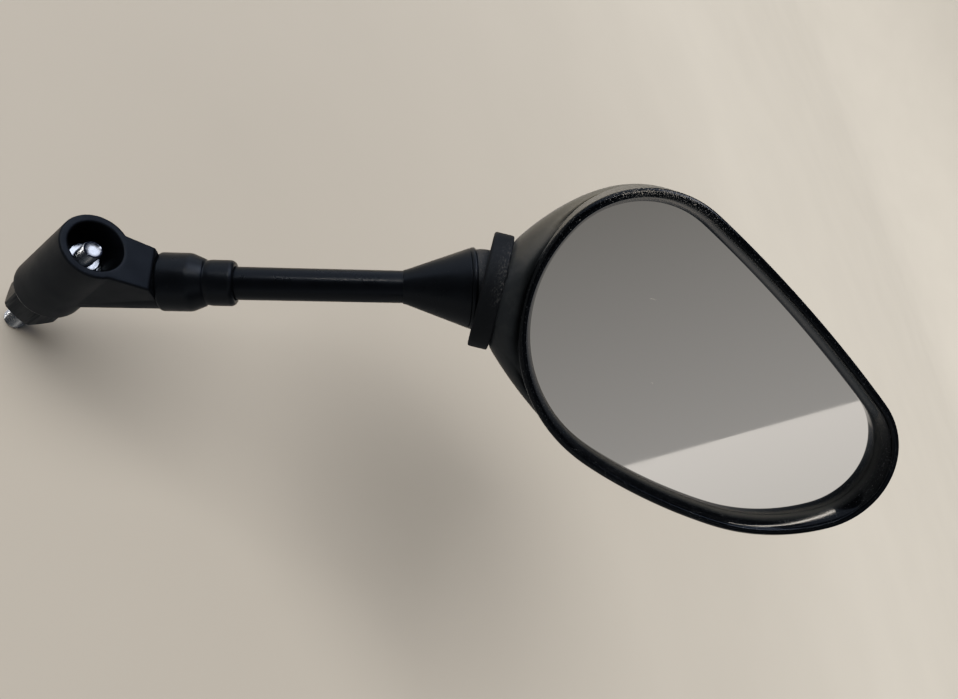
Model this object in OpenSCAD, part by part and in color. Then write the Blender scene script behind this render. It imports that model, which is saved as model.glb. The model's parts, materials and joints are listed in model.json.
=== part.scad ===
// Right-hand motorcycle mirror: a cast knuckle that clamps on a threaded stud,
// a round stem, and a head that swivels on a spring-loaded ball.
// Millimetres. Origin on the stud's axis, at the hex adapter's seating face.
// +Z runs up the stud, -Y is the way the glass faces, +X is outboard.

/* [Stud and hex adapter] */
// Diameter of the lower mounting thread
mount_thread_d = 10; // [8:0.5:11]
// Length of the lower thread below the hex
mount_thread_len = 25; // [18:1:28]
// Diameter of the shank that the knuckle turns on
shank_d = 12; // [11.5:0.5:13]
// Diameter of the upper thread
top_thread_d = 8; // [6:0.5:10]
// Height of the upper thread above the floor of the barrel
top_thread_len = 20; // [17:0.5:21]
// Width across the flats of the hex adapter
hex_af = 22; // [19:0.5:24]
// Height of the hex adapter
hex_h = 20; // [16:0.5:24]
// Turn of the hex adapter's corners from outboard
hex_turn = 16.5; // [0:0.5:30]
// Thickness of the thrust washer
thrust_t = 1; // [0.6:0.2:2]

/* [Knuckle] */
// Diameter of the barrel at its top rim
barrel_top_d = 28.5; // [27.5:0.5:31]
// Diameter of the barrel at its foot
barrel_foot_d = 29.4; // [28:0.2:32]
// Height of the barrel
barrel_h = 50.7; // [48:0.1:56]
// Diameter of the open counterbore
counterbore_d = 21.8; // [20:0.2:22.6]
// Depth of the open counterbore
counterbore_depth = 23.7; // [21:0.1:25]
// Height of the stem's axis above the barrel's foot
stem_axis_h = 10.8; // [9:0.2:12]
// Rise of the stem above level
stem_rise = 42; // [36:1:48]
// Heading of the stem, from outboard towards forward
stem_heading = 50.5; // [40:0.5:60]
// Diameter of the round arm and its collar
collar_d = 24.6; // [23:0.2:26]
// Distance from the barrel's axis to the collar's face
collar_dist = 44; // [42:0.5:46]
// Width of the web's flat top where it meets the barrel
web_root_w = 23; // [21:0.5:26]
// Width of the web's flat top at the collar
web_end_w = 20.4; // [17:0.2:22]
// Shift of the web towards the side that the glass faces
web_shift = 1.3; // [0:0.1:1.5]
// Outside diameter of the pivot bush
bush_d = 17; // [16:0.5:18]

/* [Clamp stack] */
// Thickness of the friction washer
friction_t = 1.6; // [1:0.1:2]
// Outside diameter of the disc springs
disc_d = 16; // [14:0.5:18]
// Thickness of one disc spring
disc_t = 0.9; // [0.7:0.1:1.1]
// Height of one disc spring
disc_h = 1.6; // [1.4:0.1:1.8]
// Width across the flats of the pivot nut
nut_af = 13; // [12:0.5:14]
// Height of the pivot nut
nut_h = 6.5; // [5:0.5:7]

/* [Stem and boots] */
// Diameter of the stem
stem_d = 15.4; // [14:0.2:16]
// Wall of the stem's tube
stem_wall = 2.5; // [2:0.1:3]
// Diameter of the stem's threaded end
stem_thread_d = 10; // [8:0.5:11]
// Length of thread screwed into the knuckle
stem_engage = 20; // [18:1:21]
// Width across the flats of the stem's lock nut
lock_af = 19; // [17:0.5:19.5]
// Height of the stem's lock nut
lock_h = 8; // [6:0.5:9]
// Large diameter of the lower boot
boot_big_d = 26.8; // [26:0.2:28]
// Small diameter of the lower boot
boot_small_d = 21.2; // [20:0.2:22]
// Length of the lower boot
boot_len = 32.6; // [30:0.2:36]
// Length of the lower boot's large end
boot_big_len = 13.6; // [11:0.2:14]
// Length of the lower boot's slope
boot_slope_len = 6.5; // [5:0.5:8]
// Distance from the barrel's axis to the ball's centre
ball_dist = 190.5; // [180:0.5:205]
// Length of the conical upper boot
cone_len = 34; // [31:0.5:37]
// Large diameter of the upper boot
cone_d = 39.4; // [39.2:0.2:41]
// Wall of the upper boot
cone_wall = 1.8; // [1.4:0.1:2]

/* [Ball joint] */
// Diameter of the swivel ball
ball_d = 37.8; // [36:0.2:38]
// Wall of the hollow ball
ball_wall = 3.6; // [3:0.1:4]
// Thickness of the liner between ball and socket
liner_t = 1.4; // [1:0.1:1.6]
// Thickness of the inner cup
cup_t = 1.95; // [1.6:0.05:2.2]
// Radial clearance of each spherical fit
fit = 0.05; // [0.02:0.01:0.08]
// Diameter of the clamp screw
clamp_d = 5; // [4:0.5:5]
// Outside diameter of the neck ring
ring_d = 56.2; // [54:0.2:60]
// Thickness of the neck ring
ring_t = 9.7; // [9:0.1:11]
// Chamfer of the neck ring's corners
ring_chamfer = 1.4; // [0.5:0.1:2]
// Depth of the neck ring's recess, which the upper boot's rim enters
ring_recess = 4.4; // [4:0.1:4.8]
// Diameter of that recess
recess_d = 42; // [41:0.2:43]
// Swing of the head away from the stem's line
head_swing = 14.4; // [10:0.2:16]
// Roll of the head about its neck
head_roll = 218; // [200:1:235]

/* [Head] */
// Radius of the outline's lower corner
lower_r = 90; // [84:1:96]
// Radius of the outline's outer tip
tip_r = 39; // [36:1:42]
// Radius of the long upper edge
edge_r = 710; // [600:10:900]
// Radius of the outline's top
top_r = 47; // [44:1:51]
// Distance from the ball's centre to the outline's inner edge
head_start = 19.4; // [18:0.2:22]
// Height of the rim above the neck's axis
rim_h = 21.5; // [19:0.5:24]
// Diameter of the shell's neck
neck_d = 52; // [51:0.2:53]
// Wall of the shell
shell_wall = 2.4; // [2:0.1:2.8]
// Depth of the shell's upright side below the rim
side_depth = 12; // [11:0.5:14]
// Inward draft of the shell's upright side at the outer tip
side_draft = 1; // [0.6:0.1:1.4]
// Outward flare of the shell's upright side along its top and bottom
side_flare = 1.5; // [0:0.1:2]
// Slope at which the shell spreads upwards from its neck
spread_up = 1.5; // [1.2:0.05:1.7]
// Slope at which the shell spreads downwards from its neck
spread_down = 1.05; // [0.8:0.05:1.3]
// Depth over which the shell's side bends into its back
side_bend = 14; // [10:1:20]
// Height of the bead above the shell's rim
bead_h = 5.2; // [4:0.2:6]
// Distance from the outline in to the glass that shows
glass_margin = 5.8; // [5.6:0.1:7]
// Depth of the glass below the shell's rim
glass_drop = 6.5; // [5.5:0.1:7]
// Thickness of the glass
glass_t = 2; // [1.6:0.1:2.5]
// Thickness of the foam pad
foam_t = 1.2; // [0.8:0.1:1.6]
// Thickness of the glass tray's floor
tray_t = 2; // [1.6:0.1:2.4]

/* [Hidden] */
$fn = 96;

black = [0.10, 0.10, 0.11];
rubber_black = [0.14, 0.14, 0.15];
steel = [0.75, 0.76, 0.78];
chamfer = 1.2;
thread_gap = 0.05;

// Heights up the stud
foot_z = hex_h + thrust_t;
stem_z = foot_z + stem_axis_h;
rim_z = foot_z + barrel_h;
floor_z = rim_z - counterbore_depth;
stack_z = floor_z + friction_t;
nut_z = stack_z + 2 * disc_h;

// Distances along the stem
stem_start = collar_dist - stem_engage;
stem_body = collar_dist + lock_h + 1;
cone_end = ball_dist - 3.4;
cone_start = cone_end - cone_len;

// Radii about the ball's centre
ball_r = ball_d / 2;
cavity_r = ball_r - ball_wall;
cup_r = cavity_r - fit;
cup_in_r = cup_r - cup_t;
liner_in_r = ball_r + fit;
liner_r = liner_in_r + liner_t;
seat_r = liner_r + fit;
socket_wall = 1.8;
socket_r = seat_r + socket_wall;
ball_back = 10;
// The window in the ball's front, which the clamp screw sweeps through
window_r = 10;
ball_front = sqrt(pow(ball_r, 2) - pow(window_r, 2)) - 0.4;
carrier_disc = 3;
socket_flange = 2;
flange_end = ring_t + socket_flange;
neck_r = neck_d / 2;
neck_bore = neck_r - shell_wall;
// Room between the shell's neck and the flange, and twice that for the collar
neck_slip = 0.25;
collar_t = 2;
collar_bore = sqrt(pow(socket_r, 2) - pow(flange_end, 2)) + 0.3;
neck_screw_r = (collar_bore + neck_bore) / 2;
neck_screw_d = 2.5;
screw_head_d = 3.8;
screw_bite = 3.5;

// Heights in the head, along the way the glass faces
glass_z = rim_h - glass_drop;
foam_z = glass_z - glass_t - foam_t;
tray_z = foam_z - tray_t;

function unit(a) = [cos(a), sin(a)];

// The head's outline is a closed chain of six tangent arcs. Four radii are
// given, and the first and last, along the bottom and the inner side, close it.
sweeps = [16, 36, 111.5, 9.5, 86, 101];
first_angle = 249.5;
function sum_to(v, n) = n <= 0 ? 0 : v[n - 1] + sum_to(v, n - 1);
angles = [for (k = [0:6]) first_angle + sum_to(sweeps, k)];
chords = [for (k = [0:5]) unit(angles[k + 1]) - unit(angles[k])];
given = lower_r * chords[1] + tip_r * chords[2] + edge_r * chords[3] + top_r * chords[4];
turn = chords[0].x * chords[5].y - chords[0].y * chords[5].x;
bottom_r = (chords[5].x * given.y - chords[5].y * given.x) / turn;
inner_r = (chords[0].y * given.x - chords[0].x * given.y) / turn;
radii = [bottom_r, lower_r, tip_r, edge_r, top_r, inner_r];
arc_steps = [10, 10, 20, 14, 14, 16];
// Centre of the inner side's arc, a little above the neck's axis
inner_c = [head_start + inner_r, 3.7];
// Centres of the arcs, worked backwards from the inner side
function arc_c(k) = k == 5 ? inner_c : arc_c(k + 1) + (radii[k + 1] - radii[k]) * unit(angles[k + 1]);
centres = [for (k = [0:5]) arc_c(k)];
outline_spots = [for (k = [0:5], i = [0:arc_steps[k] - 1]) [k, angles[k] + sweeps[k] * i / arc_steps[k]]];
function outline_at(spot, grow) = centres[spot[0]] + (radii[spot[0]] + grow) * unit(spot[1]);
function outline(grow) = [for (s = outline_spots) outline_at(s, grow)];

// Places for parts on the stem and in the head
module on_stem(dist) {
    rotate([0, 0, stem_heading]) translate([0, 0, stem_z]) rotate([0, 90 - stem_rise, 0])
        translate([0, 0, dist]) children();
}
// Local Z runs out of the neck
module on_neck() {
    on_stem(ball_dist) rotate([head_swing, 0, 0]) rotate([0, 0, head_roll]) children();
}
// Local X runs out of the neck and local Z is the way the glass faces
module in_head() {
    on_neck() rotate([180, -90, 0]) children();
}

module hex_prism(af, h, bevel) {
    intersection() {
        cylinder(d = af / cos(30), h = h, $fn = 6);
        rotate_extrude() polygon([
            [0, 0], [af / 2 - bevel / 2, 0], [af / 2 + bevel, bevel],
            [af / 2 + bevel, h - bevel], [af / 2 - bevel / 2, h], [0, h]
        ]);
    }
}
module ring_plate(outer_d, inner_d, h) {
    difference() {
        cylinder(d = outer_d, h = h);
        translate([0, 0, -1]) cylinder(d = inner_d, h = h + 2);
    }
}
// A dished spring washer, its rim down
module disc_spring(outer_d, inner_d, t, h) {
    rotate_extrude() polygon([
        [inner_d / 2, h - t], [inner_d / 2, h], [outer_d / 2, t], [outer_d / 2, 0]
    ]);
}
// A zone of a hollow sphere between two angles from its pole
module sphere_zone(outer_r, inner_r, from, to) {
    rotate_extrude() difference() {
        intersection() {
            circle(r = outer_r);
            polygon([[0, 0], 2 * outer_r * [sin(from), cos(from)], 2 * outer_r * [sin(to), cos(to)]]);
        }
        circle(r = inner_r);
    }
}
// A closed skin through a loop of rings that have the same number of points
module skin(rings) {
    n = len(rings[0]);
    m = len(rings);
    polyhedron(
        points = [for (ring = rings) each ring],
        faces = [for (j = [0:m - 1], i = [0:n - 1]) let (
            a = j * n + i,
            b = j * n + (i + 1) % n,
            c = ((j + 1) % m) * n + (i + 1) % n,
            d = ((j + 1) % m) * n + i
        ) each [[a, b, c], [a, c, d]]],
        convexity = 8
    );
}

module pivot_stud() color(steel) {
    translate([0, 0, -mount_thread_len]) {
        cylinder(d1 = mount_thread_d - 2 * chamfer, d2 = mount_thread_d, h = chamfer);
        translate([0, 0, chamfer]) cylinder(d = mount_thread_d, h = mount_thread_len - chamfer);
    }
    cylinder(d = shank_d, h = floor_z);
    translate([0, 0, floor_z]) {
        cylinder(d = top_thread_d, h = top_thread_len - chamfer);
        translate([0, 0, top_thread_len - chamfer])
            cylinder(d1 = top_thread_d, d2 = top_thread_d - 2 * chamfer, h = chamfer);
    }
}

module hex_adapter() color(black) rotate([0, 0, hex_turn]) difference() {
    hex_prism(hex_af, hex_h, chamfer);
    translate([0, 0, -1]) cylinder(d = shank_d + 2 * thread_gap, h = hex_h + 2);
}

module thrust_washer() color(steel)
    translate([0, 0, hex_h]) ring_plate(barrel_foot_d - 1.4, shank_d + 2 * thread_gap, thrust_t);

// The web: tapered in plan, and in elevation a wedge between the arm and the rim's plane
module web() rotate([0, 0, stem_heading]) intersection() {
    linear_extrude(web_top_z) translate([0, -web_shift]) polygon([
        [0, -web_root_w / 2], [web_reach, -web_end_w / 2],
        [web_reach, web_end_w / 2], [0, web_root_w / 2]
    ]);
    rotate([90, 0, 0]) translate([0, 0, -barrel_top_d]) linear_extrude(2 * barrel_top_d)
        polygon([[0, stem_z], collar_point, web_corner, [0, web_top_z]]);
}
// The barrel and the web stand proud of the rim's plane and one cut trims both
// level. The round arm under the web is joined after it.
module knuckle_body() {
    difference() {
        union() {
            translate([0, 0, foot_z]) cylinder(d1 = barrel_foot_d, d2 = barrel_top_d, h = barrel_h);
            translate([0, 0, rim_z]) cylinder(d = barrel_top_d, h = proud);
            web();
        }
        translate([0, 0, rim_z]) cylinder(r = 2 * web_reach, h = 3 * proud);
    }
    on_stem(0) cylinder(d = collar_d, h = collar_dist);
}
proud = 1;
web_top_z = rim_z + 2 * proud;
collar_point = [collar_dist * cos(stem_rise), stem_z + collar_dist * sin(stem_rise)];
web_corner = [collar_point.x - (web_top_z - collar_point.y) * tan(stem_rise), web_top_z];
web_reach = collar_point.x + 1;

module knuckle() color(black) difference() {
    knuckle_body();
    translate([0, 0, foot_z - 1]) cylinder(d = bush_d, h = barrel_h);
    translate([0, 0, floor_z]) cylinder(d = counterbore_d, h = counterbore_depth + 1);
    on_stem(stem_start - 1) cylinder(d = stem_thread_d + 2 * thread_gap, h = stem_engage + 2);
}

module pivot_bush() color("tan")
    translate([0, 0, foot_z]) ring_plate(bush_d, shank_d + 2 * fit, floor_z - foot_z);

module friction_washer() color(steel)
    translate([0, 0, floor_z]) ring_plate(counterbore_d - 0.6, top_thread_d + 0.4, friction_t);

module disc_spring_lower() color(steel)
    translate([0, 0, stack_z]) disc_spring(disc_d, top_thread_d + 0.4, disc_t, disc_h);

module disc_spring_upper() color(steel)
    translate([0, 0, nut_z]) mirror([0, 0, 1]) disc_spring(disc_d, top_thread_d + 0.4, disc_t, disc_h);

module pivot_nut() color(steel) translate([0, 0, nut_z]) difference() {
    hex_prism(nut_af, nut_h, 0.8);
    translate([0, 0, -1]) cylinder(d = top_thread_d + 2 * thread_gap, h = nut_h + 2);
}

// A tube with a solid threaded end
stem_end = ball_dist - ball_back + 1;
module stem() color(black) difference() {
    union() {
        on_stem(stem_start) cylinder(d = stem_thread_d, h = stem_body - stem_start);
        on_stem(stem_body) cylinder(d = stem_d, h = stem_end - stem_body);
    }
    on_stem(stem_body + stem_wall) cylinder(d = stem_d - 2 * stem_wall, h = stem_end - stem_body);
    pin_hole();
}

module stem_lock_nut() color(steel) on_stem(collar_dist) difference() {
    hex_prism(lock_af, lock_h, 0.8);
    translate([0, 0, -1]) cylinder(d = stem_thread_d + 2 * thread_gap, h = lock_h + 2);
}

// Soft sleeve over the collar's face, the lock nut and the start of the stem
module lower_boot() color(rubber_black) on_stem(collar_dist) rotate_extrude() polygon([
    [lock_af / 2 / cos(30) + 0.3, 0], [boot_big_d / 2 - 0.8, 0], [boot_big_d / 2, 0.8],
    [boot_big_d / 2, boot_big_len - 0.8], [boot_big_d / 2 - 0.3, boot_big_len + 0.3],
    [boot_small_d / 2, boot_big_len + boot_slope_len],
    [boot_small_d / 2, boot_len - 2.7], [boot_small_d / 2 - 0.8, boot_len - 1],
    [stem_d / 2 + 0.9, boot_len], [stem_d / 2 + 0.05, boot_len],
    [stem_d / 2 + 0.05, boot_big_len + boot_slope_len],
    [lock_af / 2 / cos(30) + 0.3, boot_big_len - 1]
]);

// Conical boot: its mouth closes on the back of the ball
cone_out_r = cone_d / 2;
cone_in_r = stem_d / 2 + 0.6;
cone_foot = 1.4;
cone_lip = 1.6;
cone_sleeve = 9;
cone_slope = (cone_out_r - cone_in_r) / (cone_len - cone_foot - cone_lip);
module upper_boot() color(black) difference() {
    on_stem(cone_start) rotate_extrude() polygon([
        [0, 0], [stem_d / 2 + 0.2, 0], [cone_in_r, cone_foot],
        [cone_out_r, cone_len - cone_lip], [cone_out_r - 0.2, cone_len - 0.6],
        [cone_out_r - 0.8, cone_len], [0, cone_len]
    ]);
    on_stem(cone_start + cone_sleeve) cylinder(
        r1 = cone_in_r + (cone_sleeve - cone_foot) * cone_slope - cone_wall,
        r2 = cone_out_r - cone_wall, h = cone_len - cone_lip - cone_sleeve);
    on_stem(cone_start - 1) cylinder(d = stem_d + 0.1, h = 2 * cone_sleeve);
    on_stem(ball_dist) sphere(r = ball_r + 0.1);
}

// Hub pinned on the stem, a disc, and a spigot that screws into the ball's back
spigot_r = cavity_r - 1.5;
spigot_len = 5;
hub_len = 11;
module ball_carrier() color("dimgray") difference() {
    on_stem(ball_dist - ball_back - carrier_disc - hub_len) {
        cylinder(r = stem_d / 2 + 2.3, h = hub_len);
        translate([0, 0, hub_len]) cylinder(r = ball_r - 4.1, h = carrier_disc);
        translate([0, 0, hub_len + carrier_disc]) cylinder(r = spigot_r - thread_gap, h = spigot_len);
    }
    on_stem(ball_dist - ball_back - carrier_disc - hub_len - 1)
        cylinder(d = stem_d + 2 * thread_gap, h = hub_len + carrier_disc + 2.2);
    pin_hole();
}
pin_d = 3;
pin_dist = ball_dist - ball_back - carrier_disc - hub_len / 2;

module pin_hole() {
    on_stem(pin_dist) rotate([0, 90, 0]) cylinder(
        d = pin_d + 2 * thread_gap, h = 2 * (stem_d + hub_len), center = true);
}

module carrier_pin() color(steel)
    on_stem(pin_dist) rotate([0, 90, 0]) cylinder(d = pin_d, h = stem_d + 4, center = true);

// Hollow ball, open at its back for the carrier and at its front for the clamp screw
module swivel_ball() color(black) on_stem(ball_dist) difference() {
    intersection() {
        sphere(r = ball_r);
        translate([0, 0, -ball_back]) cylinder(r = ball_r + 1, h = ball_back + ball_front);
    }
    sphere(r = cavity_r);
    translate([0, 0, -ball_back - 1]) cylinder(r = spigot_r, h = ball_back);
    cylinder(r = window_r, h = ball_r);
}

// Both cups are zones of spheres, measured in degrees from the neck's line
cup_from = 24;
cup_to = 62;
liner_from = 18;
liner_to = 76;
module inner_cup() color("ivory") on_neck() sphere_zone(cup_r, cup_in_r, cup_from, cup_to);
module ball_liner() color("ivory") on_neck() sphere_zone(liner_r, liner_in_r, liner_from, liner_to);

// Domed washer that presses the inner cup against the ball
washer_flat = 9.5;
module clamp_washer() color(steel) on_neck() difference() {
    intersection() {
        sphere(r = cup_in_r - fit);
        translate([0, 0, washer_flat]) cylinder(r = cup_in_r, h = cup_in_r);
    }
    cylinder(d = clamp_d + 0.2, h = ball_r);
}

clamp_seat = socket_r - 0.7;
clamp_stack = clamp_seat + 2 * disc_h;
clamp_head_d = 9;
clamp_head_h = 4;
clamp_spring_d = 12;
clamp_nut_af = 8;
clamp_nut_h = 4.7;
clamp_end = clamp_stack + clamp_nut_h + 1.8;
module clamp_screw() color(steel) on_neck() {
    translate([0, 0, washer_flat - clamp_head_h]) cylinder(d = clamp_head_d, h = clamp_head_h);
    translate([0, 0, washer_flat]) cylinder(d = clamp_d, h = clamp_end - washer_flat);
}
module clamp_spring_inner() color(steel) on_neck() translate([0, 0, clamp_seat])
    disc_spring(clamp_spring_d, clamp_d + 0.4, disc_t, disc_h);
module clamp_spring_outer() color(steel) on_neck() translate([0, 0, clamp_stack]) mirror([0, 0, 1])
    disc_spring(clamp_spring_d, clamp_d + 0.4, disc_t, disc_h);
module clamp_nut() color(steel) on_neck() translate([0, 0, clamp_stack]) difference() {
    hex_prism(clamp_nut_af, clamp_nut_h, 0.5);
    translate([0, 0, -1]) cylinder(d = clamp_d + 2 * thread_gap, h = clamp_nut_h + 2);
}

// Outer half of the socket: a thick ring with a recess for the upper boot's rim
module neck_ring() color(rubber_black) on_neck() difference() {
    rotate_extrude() polygon([
        [0, 0], [ring_d / 2 - ring_chamfer, 0], [ring_d / 2, ring_chamfer],
        [ring_d / 2, ring_t - ring_chamfer], [ring_d / 2 - ring_chamfer, ring_t], [0, ring_t]
    ]);
    translate([0, 0, -1]) cylinder(d = recess_d, h = ring_recess + 1);
    sphere(r = seat_r);
    neck_screw_spots() translate([0, 0, ring_t - screw_bite - 0.2])
        cylinder(d = neck_screw_d + 2 * thread_gap, h = 2 * screw_bite);
}

module neck_screw_spots() {
    for (k = [0:2]) rotate([0, 0, 60 + 120 * k]) translate([neck_screw_r, 0, 0]) children();
}

// Inner half of the socket: a flange and a dome that carries the clamp springs
module socket_cup() color("dimgray") on_neck() difference() {
    union() {
        intersection() {
            sphere(r = socket_r);
            translate([0, 0, ring_t]) cylinder(r = socket_r, h = clamp_seat - ring_t);
        }
        translate([0, 0, ring_t]) cylinder(r = neck_bore - neck_slip, h = socket_flange);
    }
    sphere(r = seat_r);
    cylinder(d = clamp_d + 0.4, h = socket_r + 1);
    neck_screw_spots() translate([0, 0, ring_t - 1]) cylinder(d = neck_screw_d + 0.4, h = socket_flange + 2);
}

module neck_collar() color("dimgray") on_neck() translate([0, 0, flange_end]) difference() {
    ring_plate(2 * (neck_bore - 2 * neck_slip), 2 * collar_bore, collar_t);
    neck_screw_spots() translate([0, 0, -1]) cylinder(d = neck_screw_d + 0.4, h = collar_t + 2);
}

module neck_screws() color(steel) on_neck() neck_screw_spots() {
    translate([0, 0, ring_t - screw_bite])
        cylinder(d = neck_screw_d, h = screw_bite + socket_flange + collar_t);
    translate([0, 0, flange_end + collar_t]) cylinder(d = screw_head_d, h = 1.6);
}

// The shell is lofted from the round neck to the rim: each point of the neck's
// circle runs out along the neck, bends, and climbs to its point of the outline
function neck_point(spot, r) = [ring_t, r * sin(spot[1]), -r * cos(spot[1])];
function rim_point(spot, grow) = let (p = outline_at(spot, grow)) [p.x, p.y, rim_h];
function bezier(a, b, c, d, t) =
    pow(1 - t, 3) * a + 3 * t * pow(1 - t, 2) * b + 3 * t * t * (1 - t) * c + pow(t, 3) * d;
rim_inset = 0.4;
// Shares of the span that the loft's curve runs from the neck before it bends:
// along the back, and more along the top and bottom
back_run = 0.42;
more_side_run = 0.3;
// Share of a short span that bends at its outer end
bend_share = 0.3;
// Spans over which the upright side grows from nothing to its full depth
side_from = 12;
side_full = 42;
function shell_point(spot, inset, t) = let (
    a = neck_point(spot, neck_r - inset),
    span = norm(rim_point(spot, -inset) - a),
    share = min(1, max(0, (span - side_from) / (side_full - side_from))),
    side = sin(spot[1]),
    lean = side_draft * max(0, cos(spot[1])) - side_flare * abs(side),
    foot = rim_point(spot, -rim_inset - inset - lean * share) - [0, 0, side_depth * share],
    heading = [1, side * (side > 0 ? spread_up : spread_down), 0],
    run = (back_run + more_side_run * side * side) * span * heading / norm(heading),
    bend = share * min(side_bend, bend_share * span)
) bezier(a, a + run, foot - [0, 0, bend], foot, t);
loft_steps = 11;
function shell_ring(inset, t) = [for (s = outline_spots) shell_point(s, inset, t)];
function shell_rim(inset) = [for (s = outline_spots) rim_point(s, -rim_inset - inset)];
module shell() color(black) in_head() skin([
    for (k = [0:loft_steps]) shell_ring(0, k / loft_steps),
    shell_rim(0),
    shell_rim(shell_wall),
    for (k = [loft_steps:-1:0]) shell_ring(shell_wall, k / loft_steps)
]);

// Glossy bead with a lip that slopes down to the glass; each point is [outward, up]
bead_profile = [
    [-rim_inset, 0], [0.1, 1], [0.3, 2.4], [-0.1, bead_h - 1.4], [-1.2, bead_h - 0.4], [-2.8, bead_h],
    [-4, bead_h - 0.7], [-glass_margin, 0.9 - glass_drop], [-glass_margin, -glass_drop],
    [-glass_margin + 1.2, -glass_drop], [-3.2, -0.4], [-3.2, 0]
];
module rim_bead() color([0.07, 0.07, 0.09]) in_head() skin([
    for (p = bead_profile) [for (q = outline(p[0])) [q.x, q.y, rim_h + p[1]]]
]);

module head_plate(grow, z, h) {
    in_head() translate([0, 0, z]) linear_extrude(h) polygon(outline(grow));
}
module glass() color([0.72, 0.72, 0.73])
    head_plate(-glass_margin + 0.9, glass_z - glass_t, glass_t);
module foam_pad() color("gray")
    head_plate(-glass_margin - 1, foam_z, foam_t);
// Tray that carries the pad and the glass, with a low wall round them
module glass_tray() color("dimgray") difference() {
    head_plate(-rim_inset - shell_wall - side_draft - 0.3, tray_z, tray_t + foam_t + glass_t - 0.5);
    head_plate(-glass_margin + 1.1, foam_z, foam_t + glass_t + 1);
}

pivot_stud();
hex_adapter();
thrust_washer();
knuckle();
pivot_bush();
friction_washer();
disc_spring_lower();
disc_spring_upper();
pivot_nut();
stem();
stem_lock_nut();
lower_boot();
upper_boot();
ball_carrier();
carrier_pin();
swivel_ball();
inner_cup();
ball_liner();
clamp_washer();
clamp_screw();
clamp_spring_inner();
clamp_spring_outer();
clamp_nut();
neck_ring();
socket_cup();
neck_collar();
neck_screws();
shell();
rim_bead();
glass();
foam_pad();
glass_tray();
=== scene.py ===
# %% [markdown]
# # A motorcycle mirror, dressed
# The imported model gives every rigid piece in its real place, in metres. This
# lesson lays the looks over it: cast metal, plated steel, soft rubber, moulded
# plastic and silvered glass. We start by loading the frame.

# %% Load the frame
import bpy
import bmesh
import json
from math import radians, cos, sin, pi
from mathutils import Matrix, Vector


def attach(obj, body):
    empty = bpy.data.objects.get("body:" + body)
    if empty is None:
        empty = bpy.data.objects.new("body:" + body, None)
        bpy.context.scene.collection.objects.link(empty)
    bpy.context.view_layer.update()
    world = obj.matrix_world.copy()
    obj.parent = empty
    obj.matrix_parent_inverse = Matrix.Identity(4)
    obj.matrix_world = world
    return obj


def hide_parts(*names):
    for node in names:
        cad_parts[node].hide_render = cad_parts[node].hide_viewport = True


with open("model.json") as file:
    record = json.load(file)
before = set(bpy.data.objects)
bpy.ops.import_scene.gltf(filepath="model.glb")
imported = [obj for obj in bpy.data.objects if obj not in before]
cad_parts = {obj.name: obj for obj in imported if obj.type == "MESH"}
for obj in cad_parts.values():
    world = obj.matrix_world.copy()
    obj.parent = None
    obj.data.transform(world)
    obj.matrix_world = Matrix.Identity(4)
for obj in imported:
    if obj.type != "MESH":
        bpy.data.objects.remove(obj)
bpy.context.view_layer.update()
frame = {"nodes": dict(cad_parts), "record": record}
nodes = frame["nodes"]
MM = 0.001

# %% [markdown]
# ## The camera
# A photograph fixes where its camera stood. The position and the axes below
# were solved from the barrel's rim, the stem and the glass. The lens is 26 mm
# on a 36 mm sensor, which is a phone's main camera. The camera is rolled,
# because the real mirror was laid down and the model stands on its stud.

# %% Place the camera
CAMERA_AT = Vector((0.06721, -0.16612, 0.34859))
CAMERA_RIGHT = Vector((0.44893, 0.48296, 0.75180))
CAMERA_UP = Vector((-0.88175, 0.37579, 0.28512))
CAMERA_BACK = CAMERA_RIGHT.cross(CAMERA_UP)

camera_data = bpy.data.cameras.new("photo_camera")
camera_data.lens = 26.0
camera_data.sensor_width = 36.0
camera_data.clip_start = 0.01
camera_data.clip_end = 100.0
camera = bpy.data.objects.new("photo_camera", camera_data)
camera.matrix_world = Matrix((
    (CAMERA_RIGHT.x, CAMERA_UP.x, CAMERA_BACK.x, CAMERA_AT.x),
    (CAMERA_RIGHT.y, CAMERA_UP.y, CAMERA_BACK.y, CAMERA_AT.y),
    (CAMERA_RIGHT.z, CAMERA_UP.z, CAMERA_BACK.z, CAMERA_AT.z),
    (0.0, 0.0, 0.0, 1.0),
))
bpy.context.scene.collection.objects.link(camera)
bpy.context.scene.camera = camera
print("camera looks along", tuple(round(c, 3) for c in -CAMERA_BACK))

# %% [markdown]
# ## The working frames
# Three straight lines carry every piece. The stud stands along Z. The stem
# leaves the stud's axis at a rise and a heading. The head's neck leaves the
# stem's ball. Each becomes a matrix, so that a piece can be modelled upright at
# the origin, in millimetres, and then laid on its line. The head also has axes
# of its own: X along the glass, Y to its upper edge and Z out of it. A pattern
# that has to lie at one place of the neck or the head is turned by their angles.

# %% Lines of the stud, the stem and the neck
def turn(angle, axis):
    return Matrix.Rotation(radians(angle), 4, axis)


def move(x, y, z):
    return Matrix.Translation((x, y, z))


STEM_Z, STEM_HEADING, STEM_RISE = 31.8, 50.5, 42.0
BALL_DIST, NECK_SWING, NECK_ROLL = 190.5, 14.4, 218.0
ON_STUD = Matrix.Scale(MM, 4)
ON_STEM = ON_STUD @ turn(STEM_HEADING, "Z") @ move(0, 0, STEM_Z) @ turn(90 - STEM_RISE, "Y")
ON_NECK = ON_STEM @ move(0, 0, BALL_DIST) @ turn(NECK_SWING, "X") @ turn(NECK_ROLL, "Z")
IN_HEAD = ON_NECK @ turn(-90, "Y") @ turn(180, "X")
NECK_ANGLES = (ON_NECK.to_3x3() * (1 / MM)).to_euler()
HEAD_ANGLES = (IN_HEAD.to_3x3() * (1 / MM)).to_euler()
print("the ball's centre:", tuple(round(c, 4) for c in ON_NECK.translation))

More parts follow.
